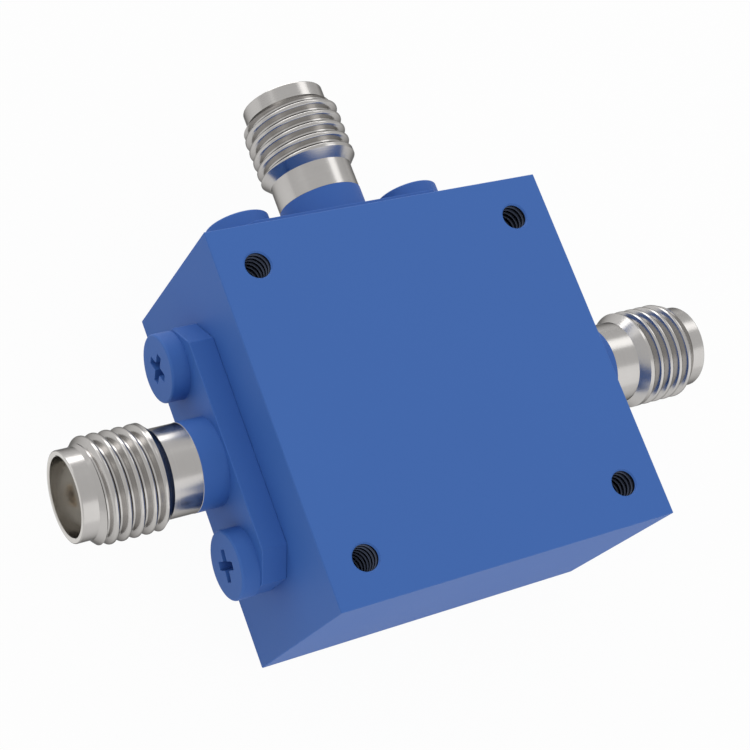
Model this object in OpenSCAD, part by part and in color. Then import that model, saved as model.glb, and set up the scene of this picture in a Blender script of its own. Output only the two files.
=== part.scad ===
// Double balanced mixer: a painted square housing with three threaded coaxial jacks.
// Origin at the centre of the back, label face up (+Z), top port towards +Y.

/* [Housing] */
// Width between the left and right port faces
housing_w = 22.86; // [19:0.01:40]
// Depth between the top port face and the blank face
housing_d = 22.86; // [19:0.01:40]
// Height from the back to the label face
housing_h = 12.7; // [10.5:0.1:20]
// Chamfer that breaks the outer edges
edge_break = 0.05; // [0.02:0.01:0.4]
// Side walls round the cavity
wall_t = 4.43; // [3.7:0.01:5.4]
// Corner radius of the cavity
cavity_corner_r = 2; // [1:0.1:2.5]
// Height of the port axes above the back
port_height = 6.35; // [5.25:0.05:7.6]
// Distance of the tapped mounting holes from the housing edges
mount_inset = 2.54; // [2.2:0.01:3]
// Radius of the tapped mounting holes, M2 x 0.4 at its minor diameter
mount_hole_r = 0.785; // [0.6:0.005:0.9]
// Depth of the tapped mounting holes
mount_hole_depth = 4.5; // [3:0.1:5]
// Width of the chamfer round each tapped mounting hole
mount_hole_chamfer = 0.1; // [0.05:0.01:0.3]

/* [Back cover] */
// Thickness of the cover
cover_t = 1.45; // [1.1:0.05:2]
// Width of the ledge that the cover sits on
cover_ledge = 2.6; // [2.4:0.05:3]
// Corner radius of the cover recess
cover_corner_r = 2.5; // [1:0.1:3]
// How far the cover lies below the rim of the back
cover_sink = 0.05; // [0.02:0.01:0.2]
// Distance of the cover screws from the edges of the cover recess
cover_screw_inset = 1.95; // [1.8:0.05:2.4]
// Radius of the cover screws' thread
cover_screw_r = 0.8; // [0.6:0.05:0.9]
// Head radius of the cover screws
cover_head_r = 1.5; // [1.3:0.05:1.7]
// Length of the cover screws with their flush heads
cover_screw_len = 4; // [3:0.1:4.2]

/* [Coaxial jacks] */
// Length of the mounting flange
flange_l = 15.88; // [15.2:0.01:18]
// Width of the mounting flange
flange_w = 5.8; // [5.4:0.05:7]
// Thickness of the mounting flange
flange_t = 1.57; // [1.3:0.01:2]
// Corner chamfer of the mounting flange
flange_chamfer = 1.6; // [1:0.05:2]
// Distance between the two flange screws
flange_screw_pitch = 12.22; // [11.5:0.01:12.8]
// Length of the jack from the housing to its tip
jack_l = 10.4; // [9.8:0.05:13]
// Radius of the collar next to the flange
collar_r = 2.67; // [2.6:0.01:3]
// Distance of the collar's end from the housing
collar_end = 3.2; // [2.4:0.05:4]
// Radius of the relief between collar and thread
neck_r = 2.62; // [2.5:0.01:2.8]
// Major radius of the coupling thread, 1/4-36
thread_r = 3.16; // [3:0.01:3.4]
// Distance of the thread's inner end from the housing
thread_start = 5.2; // [4.6:0.05:6]
// Distance of the thread's outer end from the housing
thread_end = 9.15; // [8:0.05:9.4]
// Length of the bevel at each end of the thread
thread_bevel = 0.3; // [0.1:0.05:0.6]
// Radius of the plain lead at the tip
lead_r = 2.67; // [2.6:0.01:2.9]
// Radius of the front bore that takes the mating plug
mouth_r = 2.32; // [2.25:0.01:2.5]
// Depth of the front bore
mouth_depth = 1.93; // [1.5:0.01:2.6]
// Radius of the bore that holds the insulator
dielectric_r = 2.05; // [1.9:0.01:2.2]

/* [Insulators and contacts] */
// Radius of the shoulder that traps the insulator
insulator_collar_r = 2.3; // [2.2:0.01:2.5]
// Length of the shoulder that traps the insulator
insulator_collar_l = 1; // [0.6:0.05:1.3]
// Outer radius of the contact
contact_r = 0.635; // [0.55:0.005:0.75]
// Radius of the socket in the contact
socket_r = 0.47; // [0.4:0.005:0.5]
// Depth of the socket
socket_depth = 2.6; // [2.1:0.1:3.4]
// Length of the slits between the contact fingers
slit_l = 2; // [1.5:0.1:2.4]
// Width of the slits
slit_w = 0.16; // [0.1:0.01:0.3]
// Radius of the tail that lies on the circuit board
tail_r = 0.455; // [0.35:0.005:0.5]
// Length of the tail inside the cavity
tail_l = 1.4; // [1:0.05:1.6]
// Length of insulator that holds the tail
tail_seat_l = 1; // [0.6:0.1:1.6]

/* [Flange screws] */
// Radius of the flange screws' thread
flange_screw_r = 1; // [0.8:0.05:1.05]
// Head radius of the flange screws
flange_head_r = 2.05; // [1.7:0.05:2.2]
// Head height of the flange screws
flange_head_h = 1.13; // [0.9:0.01:1.6]
// Length of the flange screws under the head
flange_screw_len = 4.8; // [4:0.1:5]
// Chamfer round the rim of the flange screw heads
head_chamfer = 0.08; // [0.04:0.01:0.2]

/* [Circuit board] */
// Thickness of the circuit board
board_t = 0.8; // [0.4:0.05:1]
// Thickness of the copper tracks
track_t = 0.05; // [0.03:0.01:0.1]
// Width of the tracks
track_w = 0.4; // [0.3:0.05:0.6]
// Side of the pads
pad_w = 0.7; // [0.5:0.05:0.8]
// Width of the strips under the contact tails
port_strip_w = 1.2; // [0.9:0.05:1.6]
// Distance of the board screws from the board's edges
board_screw_inset = 1.3; // [1.25:0.05:1.6]
// Radius of the board screws' thread
board_screw_r = 0.7; // [0.5:0.05:0.8]
// Head radius of the board screws
board_head_r = 1.2; // [1:0.05:1.25]
// Head height of the board screws
board_head_h = 0.8; // [0.6:0.05:1]
// Length of the board screws under the head
board_screw_len = 3; // [2:0.1:4]

/* [Transformers] */
// Outer diameter of the ferrite rings
core_od = 3; // [2.4:0.05:3.05]
// Inner diameter of the ferrite rings
core_id = 1.4; // [1.2:0.05:1.6]
// Height of the ferrite rings
core_h = 1.3; // [0.9:0.05:1.8]
// Edge radius of the ferrite rings
core_edge_r = 0.2; // [0.05:0.05:0.3]
// Distance of each ring from the middle of the board
core_x = 3; // [2.9:0.05:3.4]
// Distance of the rings from the middle of the board towards the blank face
core_y = 3; // [2.9:0.05:3.2]
// Diameter of the enamelled wire
wire_d = 0.14; // [0.08:0.01:0.16]
// Turns of each wire
turns = 4; // [2:1:4]

/* [Diode ring] */
// Length of the diode package
quad_l = 2.9; // [2.4:0.05:3]
// Width of the diode package
quad_w = 1.3; // [1:0.05:1.4]
// Height of the diode package
quad_h = 0.95; // [0.7:0.05:1.2]
// Span over the diode package's leads
quad_span = 2.4; // [2.1:0.05:2.6]
// Distance between the leads on one side
quad_lead_pitch = 1.9; // [1.5:0.05:2]
// Width of a lead
quad_lead_w = 0.4; // [0.3:0.05:0.5]
// Distance of the package from the middle of the board towards the top port
quad_y = 1.2; // [1:0.05:1.4]

/* [Hidden] */

$fn = 96;
// Overlap of a cutter past the face it opens
past = 0.5;
// Clearance of a piece in the bore or recess that locates it
fit_gap = 0.03;
// Clearance of a screw in the piece it passes through
screw_gap = 0.15;
// Gap between a contact tail and the strip it is soldered to
solder_gap = 0.02;
// Clearance round the circuit board
board_gap = 0.2;
// Free depth of a tapped hole past its screw
hole_past_screw = 0.3;
// Angle of a drill point
drill_angle = 118;
// Span, arm width and depth of a cross recess, as shares of the head's radius
cross_span_share = 1.07;
cross_arm_share = 0.27;
cross_depth_share = 0.41;
// How far the middle of a wire's pad lies outside the wound ring
pad_reach = 0.75;
// Gap between the centre tap's track and the pads it passes
track_gap = 0.2;
// How far a pad reaches past the tip of a diode lead
foot_reach = 0.1;
// Free length of a diode lead between the package and its knee
lead_reach = 0.1;

cavity_w = housing_w - 2 * wall_t;
cavity_d = housing_d - 2 * wall_t;
recess_w = cavity_w + 2 * cover_ledge;
recess_d = cavity_d + 2 * cover_ledge;
recess_depth = cover_t + cover_sink;
cover_head_h = cover_head_r - cover_screw_r;
board_w = cavity_w - 2 * board_gap;
board_d = cavity_d - 2 * board_gap;
board_face_z = port_height + tail_r + solder_gap + track_t;
board_back_z = board_face_z + board_t;
tail_step = board_w / 2 - cavity_w / 2 + tail_l;

strands = 3;
end_slot = strands * turns;
slot_angle = 360 / (end_slot + strands);
loop_points = 16;
loop_power = 0.4;
wire_sides = 6;
wire_gap = 0.02;
core_mid_r = (core_od + core_id) / 4;
loop_a = (core_od - core_id) / 4 + wire_d / 2 + wire_gap;
loop_b = core_h / 2 + wire_d / 2 + wire_gap;
wire_low_z = track_t + wire_gap + wire_d / 2;
core_mid_z = wire_low_z + loop_b;
pad_radius = core_od / 2 + wire_d + pad_reach;
tap_radius = pad_radius - pad_w / 2 - track_gap - track_w / 2;
first_slot_angle = 90 + slot_angle / 2;

// Gap under the diode package, the slope of its sides and the thickness of its leads
quad_stand = 0.05;
quad_draft = 0.1;
lead_t = 0.13;
lead_mid_z = track_t + quad_stand + quad_h / 2;

paint = [0.26, 0.41, 0.68];
steel = [0.72, 0.71, 0.69];
gold = [0.80, 0.60, 0.28];

// Shapes shared by several pieces

module rounded_rect(w, d, r) {
    square([w - 2 * r, d], center = true);
    square([w, d - 2 * r], center = true);
    for (x = [-1, 1], y = [-1, 1])
        translate([x * (w / 2 - r), y * (d / 2 - r)]) circle(r);
}

module chamfered_rect(w, d, c) {
    polygon([
        [w / 2, d / 2 - c], [w / 2 - c, d / 2], [c - w / 2, d / 2], [-w / 2, d / 2 - c],
        [-w / 2, c - d / 2], [c - w / 2, -d / 2], [w / 2 - c, -d / 2], [w / 2, c - d / 2]
    ]);
}

// Block from z = 0 up, with all its edges chamfered
module chamfered_block(w, d, h, c) {
    intersection() {
        linear_extrude(h) chamfered_rect(w, d, c);
        translate([0, d / 2, h / 2]) rotate([90, 0, 0]) linear_extrude(d) chamfered_rect(w, h, c);
        translate([-w / 2, 0, h / 2]) rotate([90, 0, 90]) linear_extrude(w) chamfered_rect(d, h, c);
    }
}

// Turned shape along +X from its [radius, distance] profile
module turned(profile) {
    rotate([0, 90, 0]) rotate_extrude() polygon(profile);
}

// Round bar or bore along +X
module bar(r, from, to) {
    translate([from, 0, 0]) rotate([0, 90, 0]) cylinder(h = to - from, r = r);
}

// Blind hole down from z = 0, with a chamfered mouth and a drill point
module drilled(r, depth, chamfer) {
    point_z = -depth - r / tan(drill_angle / 2);
    rotate_extrude() polygon([
        [0, past], [r + chamfer, past], [r + chamfer, 0], [r, -chamfer], [r, -depth], [0, point_z]
    ]);
}

// Cross recess of a screw head, down from z = 0 and deepest in the middle
module cross_recess(head_r) {
    span = head_r * cross_span_share;
    arm_w = head_r * cross_arm_share;
    depth = head_r * cross_depth_share;
    intersection() {
        union() {
            for (a = [0, 90])
                rotate(a) translate([-span / 2, -arm_w / 2, -depth]) cube([span, arm_w, depth + past]);
        }
        union() {
            translate([0, 0, -depth]) cylinder(h = depth, r1 = arm_w / 2, r2 = span / 2);
            cylinder(h = past, r = span / 2);
        }
    }
}

// Puts children at a port: +X points out of the housing from the port's face
module at_port(side) {
    if (side == "left")
        translate([-housing_w / 2, 0, port_height]) rotate(180) children();
    if (side == "right")
        translate([housing_w / 2, 0, port_height]) children();
    if (side == "top")
        translate([0, housing_d / 2, port_height]) rotate(90) children();
}

module at_cover_screw(i) {
    x = recess_w / 2 - cover_screw_inset;
    y = recess_d / 2 - cover_screw_inset;
    translate([[-x, x, x, -x][i], [-y, -y, y, y][i], cover_sink]) children();
}

// Board frame: z = 0 on the component side, +Z towards the cover
module on_board() {
    translate([0, 0, board_face_z]) mirror([0, 0, 1]) children();
}

module at_board_screw(i) {
    x = board_w / 2 - board_screw_inset;
    y = board_d / 2 - board_screw_inset;
    on_board() translate([[-x, x, 0][i], [y, y, -y][i], 0]) children();
}

// Housing and cover

module port_cuts() {
    bar(dielectric_r + fit_gap, -wall_t - past, past);
    hole_depth = flange_screw_len - flange_t + hole_past_screw;
    for (y = [-1, 1])
        translate([0, y * flange_screw_pitch / 2, 0]) bar(flange_screw_r + fit_gap, -hole_depth, past);
}

module housing() {
    color(paint) difference() {
        chamfered_block(housing_w, housing_d, housing_h, edge_break);
        translate([0, 0, -past])
            linear_extrude(recess_depth + past) rounded_rect(recess_w, recess_d, cover_corner_r);
        linear_extrude(board_back_z) rounded_rect(cavity_w, cavity_d, cavity_corner_r);
        for (side = ["left", "right", "top"]) at_port(side) port_cuts();
        for (i = [0:3])
            at_cover_screw(i) cylinder(h = cover_screw_len + hole_past_screw, r = cover_screw_r + fit_gap);
        for (i = [0:2]) at_board_screw(i)
            translate([0, 0, -board_screw_len - hole_past_screw])
                cylinder(h = board_screw_len + hole_past_screw, r = board_screw_r + fit_gap);
        for (x = [-1, 1], y = [-1, 1])
            translate([x * (housing_w / 2 - mount_inset), y * (housing_d / 2 - mount_inset), housing_h])
                drilled(mount_hole_r, mount_hole_depth, mount_hole_chamfer);
    }
}

module back_cover() {
    color(paint) difference() {
        translate([0, 0, cover_sink])
            linear_extrude(cover_t)
                rounded_rect(recess_w - 2 * fit_gap, recess_d - 2 * fit_gap, cover_corner_r - fit_gap);
        for (i = [0:3]) at_cover_screw(i) {
            translate([0, 0, -past]) cylinder(h = cover_t + 2 * past, r = cover_screw_r + screw_gap);
            cylinder(h = cover_head_h, r1 = cover_head_r, r2 = cover_screw_r);
            translate([0, 0, -past]) cylinder(h = past, r = cover_head_r);
        }
    }
}

module cover_screw(i) {
    color(paint) at_cover_screw(i) difference() {
        union() {
            cylinder(h = cover_head_h, r1 = cover_head_r, r2 = cover_screw_r);
            cylinder(h = cover_screw_len, r = cover_screw_r);
        }
        mirror([0, 0, 1]) cross_recess(cover_head_r);
    }
}

// Coaxial jacks, each in the frame of its port

module jack_body() {
    color(steel) difference() {
        union() {
            rotate([90, 0, 90]) linear_extrude(flange_t) chamfered_rect(flange_l, flange_w, flange_chamfer);
            turned([
                [0, 0], [collar_r, 0], [collar_r, collar_end], [neck_r, collar_end],
                [neck_r, thread_start], [thread_r, thread_start + thread_bevel],
                [thread_r, thread_end - thread_bevel], [lead_r, thread_end], [lead_r, jack_l], [0, jack_l]
            ]);
        }
        bar(mouth_r, jack_l - mouth_depth, jack_l + past);
        bar(dielectric_r, -past, jack_l);
        bar(insulator_collar_r + fit_gap, -past, insulator_collar_l);
        for (y = [-1, 1])
            translate([0, y * flange_screw_pitch / 2, 0])
                bar(flange_screw_r + screw_gap, -past, flange_t + past);
    }
}

module jack_insulator() {
    front = jack_l - mouth_depth;
    r = dielectric_r - fit_gap;
    color("white") turned([
        [tail_r + fit_gap, -wall_t], [r, -wall_t], [r, 0], [insulator_collar_r, 0],
        [insulator_collar_r, insulator_collar_l - fit_gap], [r, insulator_collar_l - fit_gap],
        [r, front], [contact_r + fit_gap, front],
        [contact_r + fit_gap, tail_seat_l - wall_t], [tail_r + fit_gap, tail_seat_l - wall_t]
    ]);
}

module jack_contact() {
    front = jack_l - mouth_depth;
    color(gold) difference() {
        union() {
            bar(contact_r, tail_seat_l - wall_t, front);
            bar(tail_r, -wall_t - tail_l, front);
        }
        bar(socket_r, front - socket_depth, front + past);
        for (a = [0, 90])
            rotate([a, 0, 0])
                translate([front - slit_l, -contact_r - past, -slit_w / 2])
                    cube([slit_l + past, 2 * (contact_r + past), slit_w]);
    }
}

// Screw 1 sits towards -Y or -X, screw 2 on the other side of the port with its recess turned
module flange_screw(side, number) {
    turn = number == 1 ? 0 : 45;
    along = (number == 1 ? -1 : 1) * (side == "right" ? 1 : -1);
    color(paint) at_port(side)
        translate([flange_t, along * flange_screw_pitch / 2, 0]) difference() {
            turned([
                [0, -flange_screw_len], [flange_screw_r, -flange_screw_len],
                [flange_screw_r, 0], [flange_head_r, 0], [flange_head_r, flange_head_h - head_chamfer],
                [flange_head_r - head_chamfer, flange_head_h], [0, flange_head_h]
            ]);
            translate([flange_head_h, 0, 0]) rotate([0, 90, 0]) rotate(turn) cross_recess(flange_head_r);
        }
}

// Circuit board and what it carries

module circuit_board() {
    color("peru") difference() {
        on_board() translate([0, 0, -board_t])
            linear_extrude(board_t) rounded_rect(board_w, board_d, cavity_corner_r - board_gap);
        for (i = [0:2]) at_board_screw(i)
            translate([0, 0, -board_t - past])
                cylinder(h = board_t + 2 * past, r = board_screw_r + screw_gap);
    }
}

module board_screw(i) {
    color("silver") at_board_screw(i) difference() {
        union() {
            cylinder(h = board_head_h, r = board_head_r);
            translate([0, 0, -board_screw_len]) cylinder(h = board_screw_len, r = board_screw_r);
        }
        translate([0, 0, board_head_h]) cross_recess(board_head_r);
    }
}

// Point over a slot of the left ring. Strands 0, 1 and 2 start in slots 0, 1 and 2 and end in -3, -2 and -1
function at_slot(slot, r = pad_radius) =
    let (a = first_slot_angle + slot * slot_angle)
    [-core_x + r * cos(a), -core_y + r * sin(a)];

module track(points) {
    for (i = [1:len(points) - 1]) {
        run = points[i] - points[i - 1];
        translate(points[i - 1]) rotate(atan2(run[1], run[0]))
            translate([0, -track_w / 2]) square([norm(run), track_w]);
        translate(points[i]) circle(track_w / 2);
    }
}

// Pads and tracks of the left half. Strand 2 is the primary, from the left port. Strands 0 and 1 in series
// are the secondary, from diode lead to diode lead, with a centre tap that runs under the wires
module half_tracks() {
    edge_x = track_w - board_w / 2;
    quad_x = quad_span / 2 + foot_reach - pad_w / 2;
    quad_low = [-quad_x, quad_y - quad_lead_pitch / 2];
    quad_high = [-quad_x, quad_y + quad_lead_pitch / 2];
    for (slot = [-strands:strands - 1])
        translate(at_slot(slot)) rotate(first_slot_angle + slot * slot_angle) square(pad_w, center = true);
    for (p = [quad_low, quad_high]) translate(p) square(pad_w, center = true);
    translate([edge_x - track_w / 2, -port_strip_w / 2]) square([tail_step - track_w / 2, port_strip_w]);
    track([[edge_x, 0], [edge_x, at_slot(2)[1]], at_slot(2)]);
    track([at_slot(0), [at_slot(0)[0], quad_low[1]], quad_high]);
    track([at_slot(1 - strands), quad_low]);
    track([at_slot(-strands), for (slot = [-strands:1]) at_slot(slot, tap_radius), at_slot(1)]);
}

// The right half's centre tap goes on to the top port
module board_tracks() {
    tap_x = -at_slot(1)[0];
    top_end = board_d / 2 - tail_step;
    color(gold) on_board() linear_extrude(track_t) {
        half_tracks();
        mirror([1, 0]) half_tracks();
        translate([-port_strip_w / 2, top_end]) square([port_strip_w, tail_step - track_w / 2]);
        track([[0, top_end], [tap_x, quad_y + quad_lead_pitch / 2], [tap_x, at_slot(1)[1]]]);
    }
}

// A ring's own frame: its axis along +Z over the board
module at_ring(side) {
    on_board() mirror([side == "right" ? 1 : 0, 0, 0]) translate([-core_x, -core_y, 0]) children();
}

module ring_core(side) {
    color("dimgray") at_ring(side) translate([0, 0, core_mid_z])
        rotate_extrude() translate([core_mid_r, 0])
            rounded_rect((core_od - core_id) / 2, core_h, core_edge_r);
}

function signed_pow(v, p) = sign(v) * pow(abs(v), p);

// Point of a wire after so many turns: round the ring's section and on along the ring
function loop_point(strand, turn) =
    let (
        t = 360 * turn,
        a = first_slot_angle + slot_angle * (strand + strands * turn),
        r = core_mid_r + loop_a * signed_pow(cos(t), loop_power)
    )
    [r * cos(a), r * sin(a), core_mid_z + loop_b * signed_pow(sin(t), loop_power)];

// Points of a wire's end from its pad up to the ring
function lead_points(angle) =
    let (r = core_mid_r + loop_a)
    [for (p = [
        [pad_radius + pad_w / 4, wire_low_z], [pad_radius - pad_w / 2, wire_low_z],
        [r + 1.5 * wire_d, wire_low_z + wire_d / 2], [r + wire_d / 4, wire_low_z + 2 * wire_d]
    ]) [p[0] * cos(angle), p[0] * sin(angle), p[1]]];

function reversed(list) = [for (i = [len(list) - 1:-1:0]) list[i]];

function wire_path(strand) =
    let (
        start = first_slot_angle + slot_angle * strand,
        end = start + slot_angle * end_slot
    )
    concat(
        lead_points(start),
        [for (i = [0:turns * loop_points]) loop_point(strand, i / loop_points)],
        reversed(lead_points(end))
    );

function unit(v) = v / norm(v);

// Ring of points round a path point, squared to the path's direction there
function wire_ring(path, i) =
    let (
        last = len(path) - 1,
        p = path[i],
        along = unit(path[min(i + 1, last)] - path[max(i - 1, 0)]),
        sideways = unit([-p[1], p[0], 0]),
        u = unit(sideways - (sideways * along) * along),
        v = cross(along, u)
    )
    [for (s = [0:wire_sides - 1])
        p + wire_d / 2 * (cos(s * 360 / wire_sides) * u + sin(s * 360 / wire_sides) * v)];

module winding(side, strand) {
    path = wire_path(strand);
    last = len(path) - 1;
    rings = [for (i = [0:last]) each wire_ring(path, i)];
    walls = [for (i = [0:last - 1], s = [0:wire_sides - 1])
        let (a = i * wire_sides, t = (s + 1) % wire_sides)
        [a + s, a + wire_sides + s, a + wire_sides + t, a + t]];
    caps = [
        [for (s = [0:wire_sides - 1]) s],
        [for (s = [wire_sides - 1:-1:0]) last * wire_sides + s]
    ];
    color(["firebrick", "seagreen", "chocolate"][strand])
        at_ring(side) polyhedron(rings, concat(walls, caps));
}

module diode_ring_package() {
    half = quad_w / 2;
    color([0.13, 0.13, 0.14]) on_board() translate([0, quad_y + quad_l / 2, track_t + quad_stand])
        rotate([90, 0, 0]) linear_extrude(quad_l) polygon([
            [quad_draft - half, 0], [half - quad_draft, 0], [half, quad_h / 2],
            [half - quad_draft, quad_h], [quad_draft - half, quad_h], [-half, quad_h / 2]
        ]);
}

// Four bent leads that run from the package down to the pads
module diode_ring_leads() {
    root = quad_w / 2;
    knee = root + lead_t + lead_reach;
    tip = quad_span / 2;
    low = track_t;
    color("silver") on_board() for (side = [0, 1], y = [-1, 1])
        mirror([side, 0, 0])
            translate([0, quad_y + y * quad_lead_pitch / 2 + quad_lead_w / 2, 0])
                rotate([90, 0, 0]) linear_extrude(quad_lead_w) polygon([
                    [root, lead_mid_z - lead_t / 2], [knee - lead_t, lead_mid_z - lead_t / 2],
                    [knee - lead_t, low], [tip, low], [tip, low + lead_t],
                    [knee, low + lead_t], [knee, lead_mid_z + lead_t / 2], [root, lead_mid_z + lead_t / 2]
                ]);
}

housing();
back_cover();
cover_screw(0);  // cover_screw_1
cover_screw(1);  // cover_screw_2
cover_screw(2);  // cover_screw_3
cover_screw(3);  // cover_screw_4
at_port("left") jack_body();  // left_jack_body
at_port("right") jack_body();  // right_jack_body
at_port("top") jack_body();  // top_jack_body
at_port("left") jack_insulator();  // left_jack_insulator
at_port("right") jack_insulator();  // right_jack_insulator
at_port("top") jack_insulator();  // top_jack_insulator
at_port("left") jack_contact();  // left_jack_contact
at_port("right") jack_contact();  // right_jack_contact
at_port("top") jack_contact();  // top_jack_contact
flange_screw("left", 1);  // left_flange_screw_1
flange_screw("left", 2);  // left_flange_screw_2
flange_screw("right", 1);  // right_flange_screw_1
flange_screw("right", 2);  // right_flange_screw_2
flange_screw("top", 1);  // top_flange_screw_1
flange_screw("top", 2);  // top_flange_screw_2
circuit_board();
board_tracks();
board_screw(0);  // board_screw_1
board_screw(1);  // board_screw_2
board_screw(2);  // board_screw_3
ring_core("left");  // left_ring_core
ring_core("right");  // right_ring_core
winding("left", 0);  // left_winding_a
winding("left", 1);  // left_winding_b
winding("left", 2);  // left_winding_c
winding("right", 0);  // right_winding_a
winding("right", 1);  // right_winding_b
winding("right", 2);  // right_winding_c
diode_ring_package();
diode_ring_leads();
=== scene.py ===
# Double balanced mixer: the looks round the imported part, in metres, with the label face up
import math

import bpy
from mathutils import Matrix, Quaternion, Vector


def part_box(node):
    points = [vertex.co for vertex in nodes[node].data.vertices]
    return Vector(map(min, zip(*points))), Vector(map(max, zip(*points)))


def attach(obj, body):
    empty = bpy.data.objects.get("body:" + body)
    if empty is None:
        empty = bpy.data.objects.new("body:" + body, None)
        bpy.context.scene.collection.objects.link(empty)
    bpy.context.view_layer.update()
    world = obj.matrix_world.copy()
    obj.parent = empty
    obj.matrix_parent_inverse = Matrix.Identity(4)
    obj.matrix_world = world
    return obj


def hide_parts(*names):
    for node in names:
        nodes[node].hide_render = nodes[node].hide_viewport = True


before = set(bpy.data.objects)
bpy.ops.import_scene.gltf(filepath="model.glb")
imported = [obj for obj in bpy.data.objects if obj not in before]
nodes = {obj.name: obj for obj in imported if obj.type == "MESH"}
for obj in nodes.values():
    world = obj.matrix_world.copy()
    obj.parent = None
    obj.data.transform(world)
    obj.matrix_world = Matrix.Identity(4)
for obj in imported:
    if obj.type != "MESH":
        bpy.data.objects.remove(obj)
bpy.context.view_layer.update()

mm = 0.001
mergeWithin = 0.0002 * mm  # points this near are one
cutWithin = 0.0001 * mm  # a cut takes points this near as lying on it
hair = 0.01 * mm
smoothBelow = 12  # degrees: rounds are made of smaller steps, bevels and corners stay crisp
print("frame loaded:", len(nodes), "nodes")


# ways of working

def pick(*pieces):
    # these are selected and nothing else; the last is active
    if bpy.context.mode != "OBJECT":
        bpy.ops.object.mode_set(mode="OBJECT")
    bpy.ops.object.select_all(action="DESELECT")
    for piece in pieces:
        piece.select_set(True)
        bpy.context.view_layer.objects.active = piece


def choose(piece, kind, test):
    # edit mode, with the points, edges or faces that pass the test selected
    pick(piece)
    bpy.ops.object.mode_set(mode="EDIT")
    bpy.ops.mesh.select_mode(type=kind)
    bpy.ops.mesh.select_all(action="DESELECT")
    bpy.ops.object.mode_set(mode="OBJECT")
    points = piece.data.vertices
    if kind == "VERT":
        for point in points:
            point.select = test(point.co)
    if kind == "EDGE":
        for edge in piece.data.edges:
            first, last = (points[i].co for i in edge.vertices)
            edge.select = test((first + last) / 2, last - first)
    if kind == "FACE":
        for face in piece.data.polygons:
            face.select = test(face.center, face.normal)
    bpy.ops.object.mode_set(mode="EDIT")


def leave():
    bpy.ops.object.mode_set(mode="OBJECT")


def tidy(piece, closed=True):
    # merges doubles, fills open ends and points the faces outwards
    choose(piece, "VERT", lambda place: True)
    bpy.ops.mesh.remove_doubles(threshold=mergeWithin)
    if closed:
        bpy.ops.mesh.fill_holes(sides=0)
    bpy.ops.mesh.select_all(action="SELECT")
    bpy.ops.mesh.normals_make_consistent(inside=False)
    leave()


def combine(piece, other, how):
    # UNION, DIFFERENCE or INTERSECT with another piece, which goes
    pick(piece)
    step = piece.modifiers.new("combine", "BOOLEAN")
    step.operation = how
    step.solver = "EXACT"
    step.object = other
    bpy.ops.object.modifier_apply(modifier=step.name)
    bpy.data.objects.remove(other)


def turned(name, rings, steps, hollow=False):
    # a ring drawn out along the outline, whose stations are radius and height in millimetres
    pick()
    radius, height = rings[0]
    bpy.ops.mesh.primitive_circle_add(vertices=steps, radius=radius * mm, location=(0, 0, height * mm))
    piece = bpy.context.object
    piece.name = name
    bpy.ops.object.transform_apply()
    choose(piece, "EDGE", lambda middle, along: True)
    back = rings[:1] if hollow else []
    for station in rings[1:] + back:
        rise = (0, 0, (station[1] - height) * mm)
        bpy.ops.mesh.extrude_edges_move(TRANSFORM_OT_translate={"value": rise})
        share = station[0] / radius
        bpy.ops.transform.resize(value=(share, share, 1), center_override=(0, 0, station[1] * mm))
        radius, height = station
    leave()
    tidy(piece, closed=not hollow)
    return piece


def wound(name, thread, steps):
    # one pitch of the thread's outline, wound right-handed about Z and cut off flat at both ends
    pick()
    radius, height = thread["outline"][0]
    bpy.ops.mesh.primitive_plane_add(size=mm, location=(radius * mm, 0, (thread["start"] + height) * mm))
    piece = bpy.context.object
    piece.name = name
    bpy.ops.object.transform_apply()
    choose(piece, "VERT", lambda place: True)
    bpy.ops.mesh.merge(type="CENTER")
    for station in thread["outline"][1:]:
        step = ((station[0] - radius) * mm, 0, (station[1] - height) * mm)
        bpy.ops.mesh.extrude_vertices_move(TRANSFORM_OT_translate={"value": step})
        radius, height = station
    leave()
    first, last = thread["start"] * mm, (thread["start"] + thread["pitch"]) * mm
    choose(piece, "VERT", lambda place: first < place.z < last)
    bpy.ops.mesh.bevel(offset=thread["round"] * mm, segments=thread["roundSteps"], affect="VERTICES")
    leave()
    wind = piece.modifiers.new("wind", "SCREW")
    wind.screw_offset = thread["pitch"] * mm
    wind.iterations = thread["turns"]
    wind.steps = wind.render_steps = steps
    bpy.ops.object.modifier_apply(modifier=wind.name)
    tidy(piece, closed=False)
    for station, way in zip(thread["ends"], (-1, 1)):
        choose(piece, "VERT", lambda place: True)
        bpy.ops.mesh.bisect(plane_co=(0, 0, station * mm), plane_no=(0, 0, way), use_fill=True,
                            clear_outer=True, threshold=cutWithin)
        leave()
    tidy(piece, closed=False)
    return piece


def woundBar(name, bar, pitch):
    # one turn of a square bar that climbs with the thread
    pick()
    radius, height = bar["middle"]
    bpy.ops.mesh.primitive_plane_add(size=1, rotation=(math.pi / 2, 0, 0))
    piece = bpy.context.object
    piece.name = name
    piece.scale = (bar["size"][0] * mm, bar["size"][1] * mm, 1)
    piece.location = (radius * mm, 0, height * mm)
    bpy.ops.object.transform_apply()
    choose(piece, "FACE", lambda middle, normal: True)
    bpy.ops.mesh.delete(type="ONLY_FACE")
    leave()
    wind = piece.modifiers.new("wind", "SCREW")
    wind.screw_offset = pitch * mm
    wind.steps = wind.render_steps = bar["steps"]
    bpy.ops.object.modifier_apply(modifier=wind.name)
    tidy(piece)
    settle(piece, Matrix.Rotation(math.radians(-bar["turnBack"]), 4, "Z"))
    return piece


def copyOf(piece, name):
    # with a mesh of its own
    twin = bpy.data.objects.new(name, piece.data.copy())
    bpy.context.scene.collection.objects.link(twin)
    return twin


def settle(piece, place):
    # puts the piece there, with its place in its mesh
    pick(piece)
    piece.matrix_world = place
    bpy.ops.object.transform_apply()


def smooth(piece):
    pick(piece)
    bpy.ops.object.shade_smooth_by_angle(angle=math.radians(smoothBelow))


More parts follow.
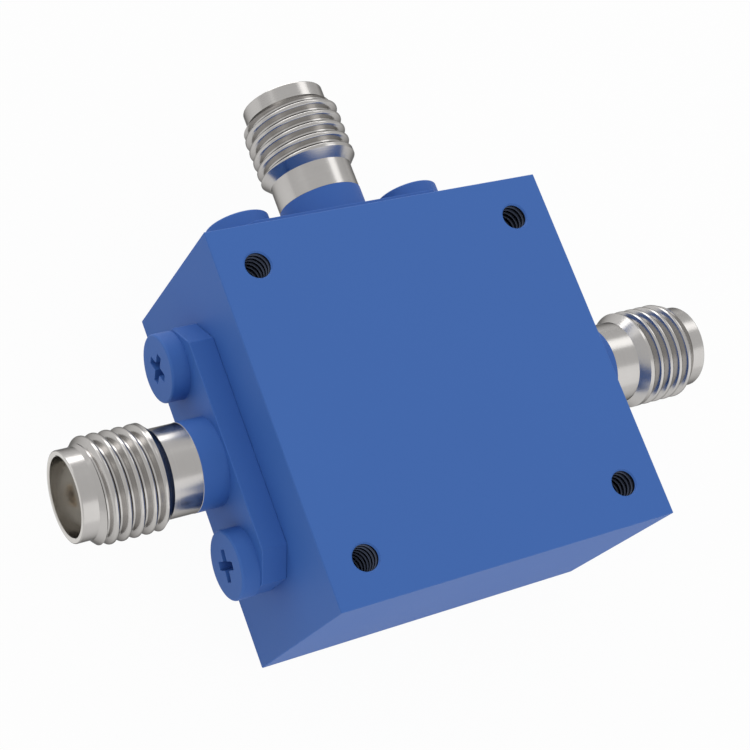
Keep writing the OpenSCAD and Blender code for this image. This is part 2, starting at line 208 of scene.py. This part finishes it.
def give(piece, slot, test):
    # the faces that pass the test get the finish in that slot
    choose(piece, "FACE", test)
    piece.active_material_index = slot
    bpy.ops.object.material_slot_assign()
    leave()


def corner(radius, height, edge, steps=8):
    # stations round a corner from the side up to the top, and a narrow flat ring that keeps the top level
    turns = [math.radians(90 * step / steps) for step in range(steps + 1)]
    arc = [(radius - edge + edge * math.cos(turn), height - edge + edge * math.sin(turn)) for turn in turns]
    flat = 1.25 * edge
    return arc + [(radius - flat, height)]


low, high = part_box("housing")
port = {"height": 6.35, "turn": {"left": 180, "right": 0, "top": 90}}


def portPlace(side, out=0, along=0):
    # from a piece turned about +Z to the port: +Z becomes outwards
    turn = math.radians(port["turn"][side])
    reach = high.y if side == "top" else high.x
    face = Matrix.Rotation(turn, 4, "Z") @ Matrix.Translation((reach + out * mm, along * mm, 0))
    return Matrix.Translation((0, 0, port["height"] * mm)) @ face @ Matrix.Rotation(math.pi / 2, 4, "Y")


# coaxial jacks

jack = {
    "steps": 128,
    "flange": (5.8, 15.88, 1.57),
    "flangeCorner": 1.6,
    "flangeEdge": 0.05,
    "screwPitch": 12.22,
    "screwHoleSteps": 64,
    # the paint ends here, and the bored finish takes the mouth up to the flat of the tip
    "paintEnd": 3.175,
    "mouthRound": 2.5,
    "tipFrom": 10.395,
    # outlines as radius and distance from the housing
    "screwHole": [(1.15, -1), (1.15, 3)],
    "barrel": [(2.67, 0.8), (2.67, 3.18), (2.65, 3.2), (2.65, 10.34), (2.63, 10.38), (2.59, 10.4)],
    "bore": [(2.33, -1), (2.33, 1), (2.05, 1), (2.05, 8.47), (2.32, 8.47), (2.32, 10.35), (2.39, 10.42)],
    "thread": {
        "outline": [(2.76, 0), (2.76, 0.0586), (3.14, 0.278), (3.14, 0.478), (2.76, 0.6974), (2.76, 0.756)],
        "round": 0.08,
        "roundSteps": 6,
        "pitch": 0.756,
        "turns": 9,
        "start": 3.4,
        "ends": (4.6, 9.72),
    },
    # the groove starts a turn above the neck: a plug and one turn of a square bar fill it below that
    "plug": [(3.3, 4.65), (3.3, 5.2)],
    "bar": {"middle": (2.85, 4.912), "size": (0.9, 0.64), "turnBack": 4, "steps": 120},
    # the ring that holds the thread, down into the wall of the barrel, bevelled at its ends; it has fewer
    # steps than the barrel, so that their corners don't meet
    "threadRoom": [(2.5, 4.79), (3.143, 5.52), (3.143, 8.962), (2.5, 9.605)],
    "threadSteps": 125,
}


def makeFlange():
    pick()
    bpy.ops.mesh.primitive_cube_add(size=1)
    flange = bpy.context.object
    flange.scale = [side * mm for side in jack["flange"]]
    flange.location = (0, 0, jack["flange"][2] / 2 * mm)
    bpy.ops.object.transform_apply()
    choose(flange, "EDGE", lambda middle, along: abs(along.z) > mm)
    bpy.ops.mesh.bevel(offset=jack["flangeCorner"] * mm, segments=1, affect="EDGES")
    leave()
    choose(flange, "EDGE", lambda middle, along: True)
    bpy.ops.mesh.bevel(offset=jack["flangeEdge"] * mm, segments=2, affect="EDGES")
    leave()
    for along in (-1, 1):
        drill = turned("drill", jack["screwHole"], jack["screwHoleSteps"])
        settle(drill, Matrix.Translation((0, along * jack["screwPitch"] / 2 * mm, 0)))
        combine(flange, drill, "DIFFERENCE")
    return flange


def makeJack():
    body = turned("jackBody", jack["barrel"], jack["steps"])
    combine(body, makeFlange(), "UNION")
    combine(body, turned("bore", jack["bore"], jack["steps"]), "DIFFERENCE")
    ridge = wound("ridge", jack["thread"], jack["steps"])
    combine(ridge, turned("plug", jack["plug"], jack["bar"]["steps"]), "UNION")
    combine(ridge, woundBar("bar", jack["bar"], jack["thread"]["pitch"]), "UNION")
    combine(ridge, turned("room", jack["threadRoom"], jack["threadSteps"], hollow=True), "INTERSECT")
    combine(body, ridge, "UNION")
    tidy(body)
    return body


def dressJack(body, side):
    # bright turned steel, bored in the mouth, and painted with the housing up to the end of the collar
    twin = copyOf(body, side + "JackBody")
    steel = metalFinish(side + "Steel", steelLooks, "Y" if side == "top" else "X")
    for finish in (steel, paint, boredSteel):
        twin.data.materials.append(finish)
    mouth, tip, painted = (jack[size] * mm for size in ("mouthRound", "tipFrom", "paintEnd"))
    give(twin, 2, lambda middle, normal: middle.xy.length < mouth or middle.z > tip)
    give(twin, 1, lambda middle, normal: middle.z < painted)
    settle(twin, portPlace(side))
    smooth(twin)
    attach(twin, "root")
    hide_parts(side + "_jack_body")


# flange screws

flangeScrew = {
    "steps": 96,
    "shank": [(0.85, -4.8), (1, -4.65), (1, 0)],
    "head": {"radius": 2.05, "height": 1.13, "edge": 0.13},
    # the recess: width of an arm, span over two arms, depth, and the foot's share of the span
    "arm": 0.55,
    "span": 2.19,
    "deep": 0.84,
    "footShare": 0.75,
    # how the first and the second screw of each port stand, in degrees
    "turn": {1: -17, 2: 31},
}


def makeRecess():
    # a cube drawn out to a cross, its arms sloping in towards the foot
    arm = flangeScrew["arm"] / 2 * mm
    reach = (flangeScrew["span"] - flangeScrew["arm"]) / 2 * mm
    top, deep, share = flangeScrew["head"]["height"], flangeScrew["deep"], flangeScrew["footShare"]
    foot = (top - deep) * mm
    pick()
    bpy.ops.mesh.primitive_cube_add(size=1)
    cross = bpy.context.object
    cross.scale = (2 * arm, 2 * arm, 2 * deep * mm)
    cross.location = (0, 0, top * mm)
    bpy.ops.object.transform_apply()
    for way in (Vector((1, 0, 0)), Vector((-1, 0, 0)), Vector((0, 1, 0)), Vector((0, -1, 0))):
        side = way.cross(Vector((0, 0, 1)))
        near = arm / 2
        choose(cross, "FACE", lambda middle, normal: normal.dot(way) > 0.9 and abs(middle.dot(side)) < near)
        bpy.ops.mesh.extrude_region_move(TRANSFORM_OT_translate={"value": way * reach})
        leave()
    choose(cross, "VERT", lambda place: place.z < foot + hair and place.xy.length > 2 * arm)
    bpy.ops.transform.resize(value=(share, share, 1), center_override=(0, 0, foot))
    leave()
    return cross


def makeFlangeScrew():
    head = corner(**flangeScrew["head"])
    outline = flangeScrew["shank"] + [(flangeScrew["head"]["radius"], 0)] + head
    body = turned("flangeScrew", outline, flangeScrew["steps"])
    combine(body, makeRecess(), "DIFFERENCE")
    tidy(body)
    return body


def dressFlangeScrew(body, side, number):
    twin = copyOf(body, side + "FlangeScrew" + str(number))
    twin.data.materials.append(screwPaint)
    # the right port counts its two screws the other way round
    half = 1 if (number == 2) == (side == "right") else -1
    along = half * jack["screwPitch"] / 2
    turn = Matrix.Rotation(math.radians(flangeScrew["turn"][number]), 4, "Z")
    settle(twin, portPlace(side, jack["flange"][2], along) @ turn)
    smooth(twin)
    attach(twin, "root")
    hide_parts(side + "_flange_screw_" + str(number))


# housing with its four tapped holes

tapped = {
    "inset": 2.54,
    "steps": 48,
    # outlines as radius and height, from the label face down
    "thread": {
        "outline": [(0.7, 0), (0.7, 0.05), (1, 0.19), (1, 0.21), (0.7, 0.35), (0.7, 0.4)],
        "round": 0.01,
        "roundSteps": 6,
        "pitch": 0.4,
        "turns": 13,
        "start": -5,
        "ends": (-4.4, -0.02),
    },
    "room": [(0.68, -4.25), (1.05, -4), (1.05, -0.44), (0.68, -0.14)],
    # the dark finish, a painted shade in the tapped holes: within this radius, from below the rim to the
    # foot
    "round": 1.1,
    "rim": 0.11,
    "foot": 4.7,
}
paintSkin = 0.06 * mm  # faces that lie deeper than this are bare metal


def makeHousing():
    block = copyOf(nodes["housing"], "housingBlock")
    block.data.materials.clear()
    pick(block)
    bpy.ops.mesh.customdata_custom_splitnormals_clear()
    tidy(block, closed=False)
    cutter = wound("tap", tapped["thread"], tapped["steps"])
    combine(cutter, turned("room", tapped["room"], tapped["steps"]), "INTERSECT")
    inset = tapped["inset"] * mm
    for x in (low.x + inset, high.x - inset):
        for y in (low.y + inset, high.y - inset):
            tap = copyOf(cutter, "tapHere")
            settle(tap, Matrix.Translation((x, y, high.z)))
            combine(block, tap, "DIFFERENCE")
    bpy.data.objects.remove(cutter)
    tidy(block)
    return block


def isBare(place):
    # deeper than the paint, and below the rims of the tapped holes
    sideways = all(low[i] + paintSkin < place[i] < high[i] - paintSkin for i in (0, 1))
    return sideways and paintSkin < place.z < high.z - tapped["rim"] * mm


def isTapped(place):
    # within a tapped hole of the label face
    away = [min(place[i] - low[i], high[i] - place[i]) - tapped["inset"] * mm for i in (0, 1)]
    top, bottom = (high.z - tapped[depth] * mm for depth in ("rim", "foot"))
    return math.hypot(*away) < tapped["round"] * mm and bottom < place.z < top


def dressHousing(block):
    for finish in (paint, bareMetal, holeThreadPaintedShade):
        block.data.materials.append(finish)
    give(block, 1, lambda middle, normal: isBare(middle))
    # the tapped holes get the dark finish that paints their shade
    give(block, 2, lambda middle, normal: isTapped(middle))
    smooth(block)
    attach(block, "root")
    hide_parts("housing")


# finishes

class Finish:
    # a socket of a material: + - and * between sockets and numbers add Math nodes
    def __init__(self, tree, socket=None):
        self.tree = tree
        self.socket = socket

    def node(self, kind, settings=None, values=None, out=0):
        made = self.tree.nodes.new("ShaderNode" + kind)
        for name, value in (settings or {}).items():
            setattr(made, name, value)
        for name, value in (values or {}).items():
            if isinstance(value, Finish):
                self.tree.links.new(value.socket, made.inputs[name])
            else:
                made.inputs[name].default_value = value
        return Finish(self.tree, made.outputs[out])

    def sum(self, operation, first, second):
        return self.node("Math", {"operation": operation}, {0: first, 1: second})

    def __add__(self, other):
        return self.sum("ADD", self, other)

    def __sub__(self, other):
        return self.sum("SUBTRACT", self, other)

    def __mul__(self, other):
        return self.sum("MULTIPLY", self, other)

    def __rsub__(self, other):
        return self.sum("SUBTRACT", other, self)

    __radd__ = __add__
    __rmul__ = __mul__

    def noise(self, place, scale, detail=2, ways="3D"):
        values = {"W" if ways == "1D" else "Vector": place, "Scale": scale, "Detail": detail}
        return self.node("TexNoise", {"noise_dimensions": ways}, values)

    def blend(self, share, first, second):
        # the Mix node's sockets 6 and 7 are its two colours, and its colour comes out at 2
        return self.node("Mix", {"data_type": "RGBA"}, {0: share, 6: (*first, 1), 7: (*second, 1)}, out=2)

    def bump(self, height, depth):
        return self.node("Bump", {}, {"Height": height, "Distance": depth * mm, "Strength": 1})


def newFinish(name, fixed):
    # a material with its fixed values set, and its place on the piece
    material = bpy.data.materials.new(name)
    material.use_nodes = True
    shader = material.node_tree.nodes["Principled BSDF"]
    for socket, value in fixed.items():
        shader.inputs[socket].default_value = (*value, 1) if isinstance(value, tuple) else value
    start = Finish(material.node_tree)
    return material, start, start.node("TexCoord", out="Object")


def feed(material, **looks):
    # links what varies over the surface
    shader = material.node_tree.nodes["Principled BSDF"]
    names = {"colour": "Base Color", "rough": "Roughness", "normal": "Normal"}
    for look, value in looks.items():
        material.node_tree.links.new(value.socket, shader.inputs[names[look]])
    return material


def paintFinish(name, looks):
    # sprayed paint: faint clouds, the skin of an orange and a fine grain
    material, start, place = newFinish(name, {"IOR": looks["ior"]})
    cloud = start.noise(place, looks["cloud"], 4)
    peel = start.noise(place, looks["peel"], 2)
    grain = start.noise(place, looks["grain"], 1)
    spread = looks["cloudSpread"] * (cloud - 0.5) + looks["grainSpread"] * (grain - 0.5)
    return feed(
        material,
        colour=start.blend(cloud, looks["deep"], looks["light"]),
        rough=looks["rough"] + spread,
        normal=start.bump(peel + looks["grainShare"] * grain, looks["depth"]),
    )


def metalFinish(name, looks, along=None):
    # turned marks run across the axis that it names; without one the grain has no direction
    material, start, place = newFinish(name, {"Metallic": 1, "Specular Tint": looks.get("edge", (1, 1, 1))})
    if along:
        station = start.node("SeparateXYZ", {}, {"Vector": place}, out=along)
        marks = start.noise(station, looks["marks"], 3, "1D")
    else:
        marks = start.noise(place, looks["marks"], 3)
    cloud = start.noise(place, metalClouds["size"], 3)
    spread = looks["roughSpread"] * (marks - 0.5) + metalClouds["spread"] * (cloud - 0.5)
    share = metalClouds["share"]
    return feed(
        material,
        colour=start.blend(cloud * share + marks * (1 - share), looks["deep"], looks["light"]),
        rough=looks["rough"] + spread,
        normal=start.bump(marks, looks["depth"]),
    )


def plainFinish(name, looks):
    # moulded or cut stuff: a clouded colour with a fine grain
    material, start, place = newFinish(name, {"IOR": looks.get("ior", 1.5)})
    cloud = start.noise(place, looks["cloud"], 3)
    grain = start.noise(place, looks["grain"], 3)
    return feed(
        material,
        colour=start.blend((cloud + grain) * 0.5, looks["deep"], looks["light"]),
        rough=looks["rough"] + plainSpread * (grain - 0.5),
        normal=start.bump(grain, looks["depth"]),
    )


# clouds, marks and grain by their count in a metre, depths in millimetres
paintLooks = {"deep": (0.0385, 0.127, 0.42), "light": (0.0415, 0.135, 0.442), "rough": 0.6, "ior": 1.38,
              "cloud": 90, "peel": 2200, "grain": 9000, "cloudSpread": 0.08, "grainSpread": 0.05,
              "grainShare": 0.25, "depth": 0.004}
metalClouds = {"size": 700, "share": 0.6, "spread": 0.05}
plainSpread = 0.12
steelLooks = {"deep": (0.46, 0.445, 0.43), "light": (0.54, 0.525, 0.51), "rough": 0.22, "roughSpread": 0.06,
              "marks": 9000, "depth": 0.0008, "edge": (0.2, 0.2, 0.2)}
boredLooks = {"deep": (0.5, 0.48, 0.45), "light": (0.6, 0.58, 0.55), "rough": 0.19, "roughSpread": 0.06,
              "marks": 6000, "depth": 0.001}
# the tapped holes' threads: a dark colour that paints the shade in them
holeShadeLooks = {"deep": (0.07, 0.085, 0.13), "light": (0.115, 0.135, 0.195), "rough": 0.45, "roughSpread": 0.1,
             "marks": 6000, "depth": 0.001}
bareLooks = {"deep": (0.44, 0.45, 0.46), "light": (0.58, 0.585, 0.59), "rough": 0.38, "roughSpread": 0.15,
             "marks": 4000, "depth": 0.003}
goldLooks = {"deep": (0.72, 0.47, 0.17), "light": (0.88, 0.62, 0.27), "rough": 0.2, "roughSpread": 0.1,
             "marks": 8000, "depth": 0.0015}
copperLooks = {"deep": (0.62, 0.3, 0.19), "light": (0.78, 0.42, 0.28), "rough": 0.32, "roughSpread": 0.15,
               "marks": 5000, "depth": 0.002}
tinLooks = {"deep": (0.52, 0.52, 0.5), "light": (0.7, 0.7, 0.68), "rough": 0.34, "roughSpread": 0.12,
            "marks": 6000, "depth": 0.003}
plasticLooks = {"deep": (0.6, 0.58, 0.54), "light": (0.68, 0.66, 0.62), "rough": 0.42, "cloud": 500,
                "grain": 6000, "depth": 0.002}
boardLooks = {"deep": (0.36, 0.33, 0.24), "light": (0.52, 0.49, 0.38), "rough": 0.55, "cloud": 900,
              "grain": 5000, "depth": 0.004}
ferriteLooks = {"deep": (0.018, 0.017, 0.017), "light": (0.05, 0.047, 0.045), "rough": 0.48, "cloud": 1500,
                "grain": 7000, "depth": 0.006}
packageLooks = {"deep": (0.012, 0.012, 0.013), "light": (0.03, 0.03, 0.032), "rough": 0.5, "cloud": 1500,
                "grain": 9000, "depth": 0.005}
enamelLooks = {"rough": 0.28, "cloud": 800, "grain": 5000, "depth": 0.001, "ior": 1.6}
enamel = {
    "red": {"deep": (0.3, 0.02, 0.015), "light": (0.42, 0.04, 0.03)},
    "green": {"deep": (0.02, 0.15, 0.05), "light": (0.04, 0.24, 0.08)},
    "copper": {"deep": (0.42, 0.16, 0.06), "light": (0.56, 0.25, 0.1)},
}

paint = paintFinish("housingPaint", paintLooks)
screwPaint = paintFinish("screwPaint", paintLooks)
bareMetal = metalFinish("bareMetal", bareLooks)
boredSteel = metalFinish("boredSteel", boredLooks)
holeThreadPaintedShade = metalFinish("holeThreadPaintedShade", holeShadeLooks)
print("finishes made")


def dress(material, *names):
    # a CAD node that stays gets its finish
    for name in names:
        place = nodes[name].material_slots[0]
        place.link = "OBJECT"
        place.material = material


dress(paint, "back_cover")
dress(screwPaint, *["cover_screw_" + str(number) for number in (1, 2, 3, 4)])
dress(metalFinish("boardScrewSteel", bareLooks), *["board_screw_" + str(number) for number in (1, 2, 3)])
dress(plainFinish("boardLaminate", boardLooks), "circuit_board")
dress(metalFinish("trackCopper", copperLooks), "board_tracks")
dress(plainFinish("packageBlack", packageLooks), "diode_ring_package")
dress(metalFinish("leadTin", tinLooks), "diode_ring_leads")
ferrite = plainFinish("ferrite", ferriteLooks)
plastic = plainFinish("insulatorPlastic", plasticLooks)
gold = metalFinish("contactGold", goldLooks)
for side in port["turn"]:
    dress(plastic, side + "_jack_insulator")
    dress(gold, side + "_jack_contact")
for side in ("left", "right"):
    dress(ferrite, side + "_ring_core")
for strand, colour in zip("abc", enamel):
    wire = plainFinish(colour + "Enamel", {**enamelLooks, **enamel[colour]})
    dress(wire, "left_winding_" + strand, "right_winding_" + strand)


# the pieces, dressed and in place

jackBody = makeJack()
for side in port["turn"]:
    dressJack(jackBody, side)
bpy.data.objects.remove(jackBody)
print("jack bodies made")

screwBody = makeFlangeScrew()
for side in port["turn"]:
    for number in (1, 2):
        dressFlangeScrew(screwBody, side, number)
bpy.data.objects.remove(screwBody)
print("flange screws made")

housing = makeHousing()
dressHousing(housing)
print("housing made:", len(housing.data.polygons), "faces")


# stage: camera, floor and lamps

camera = {
    "place": (-52.433, -23.047, 97.541),
    "aim": (-4.329, 1.014, 12.7),
    "roll": 46.322,
    "lens": 84.812,
    "sensor": 36,
    "near": 1,
}
lens = bpy.data.cameras.new("camera")
lens.lens = camera["lens"]
lens.sensor_width = camera["sensor"]
lens.clip_start = camera["near"] * mm
eye = bpy.data.objects.new("camera", lens)
bpy.context.scene.collection.objects.link(eye)
eye.location = Vector(camera["place"]) * mm
look = (Vector(camera["aim"]) - Vector(camera["place"])).to_track_quat("-Z", "Y")
eye.rotation_mode = "QUATERNION"
eye.rotation_quaternion = look @ Quaternion((0, 0, 1), math.radians(camera["roll"]))
bpy.context.scene.camera = eye

# distances in millimetres, towards the light from the middle of the housing
studio = {
    "away": 340,
    "aimHeight": 6,
    "world": 0.75,
    "lamps": {
        "leftSoftbox": {"from": (-0.5, 0.78, 0.38), "size": (260, 200), "glow": 0.6},
        "frontWall": {"from": (0.25, -0.92, 0.3), "size": (700, 420), "glow": 0.5},
        "rightSoftbox": {"from": (0.6, 0.47, 0.64), "size": (120, 120), "glow": 1.3},
        "rearStrip": {"from": (0.05, 0.95, 0.2), "size": (330, 110), "glow": 2.6},
    },
}


def lamp(name, looks):
    light = bpy.data.lights.new(name, "AREA")
    light.shape = "RECTANGLE"
    light.size, light.size_y = (side * mm for side in looks["size"])
    # a lamp's power follows its area, so "glow" is how bright its face is
    light.energy = looks["glow"] * math.pi * light.size * light.size_y
    place = bpy.data.objects.new(name, light)
    place.visible_camera = False
    bpy.context.scene.collection.objects.link(place)
    way = Vector(looks["from"]).normalized()
    place.location = way * studio["away"] * mm + Vector((0, 0, studio["aimHeight"] * mm))
    place.rotation_euler = (-way).to_track_quat("-Z", "Y").to_euler()


for name, looks in studio["lamps"].items():
    lamp(name, looks)

# camera, mirror and clear rays see this share of pure white, all others the paper alone
floor = {"size": 1200, "cuts": 3, "white": (0.7, 0.7, 0.7), "share": 0.96}
pick()
bpy.ops.mesh.primitive_plane_add(size=floor["size"] * mm)
ground = bpy.context.object
ground.name = "floor"
choose(ground, "FACE", lambda middle, normal: True)
bpy.ops.mesh.subdivide(number_cuts=floor["cuts"])
leave()
floorPaper = bpy.data.materials.new("floorPaper")
floorPaper.use_nodes = True
tree = floorPaper.node_tree
tree.nodes.remove(tree.nodes["Principled BSDF"])
start = Finish(tree)
seen = start.node("LightPath", out="Is Camera Ray")
for ray in ("Is Glossy Ray", "Is Transmission Ray"):
    seen = seen + start.node("LightPath", out=ray)
share = floor["share"] * start.node("Clamp", {}, {"Value": seen})
paper = start.node("BsdfDiffuse", {}, {"Color": (*floor["white"], 1)})
white = start.node("Emission", {}, {"Strength": 1})
mixed = start.node("MixShader", {}, {0: share, 1: paper, 2: white})
tree.links.new(mixed.socket, tree.nodes["Material Output"].inputs["Surface"])
ground.data.materials.append(floorPaper)

world = bpy.data.worlds.new("studio")
bpy.context.scene.world = world
world.use_nodes = True
sky = world.node_tree.nodes["Background"]
sky.inputs["Color"].default_value = (1, 1, 1, 1)
sky.inputs["Strength"].default_value = studio["world"]
bpy.context.scene.view_settings.view_transform = "Standard"
print("stage set")
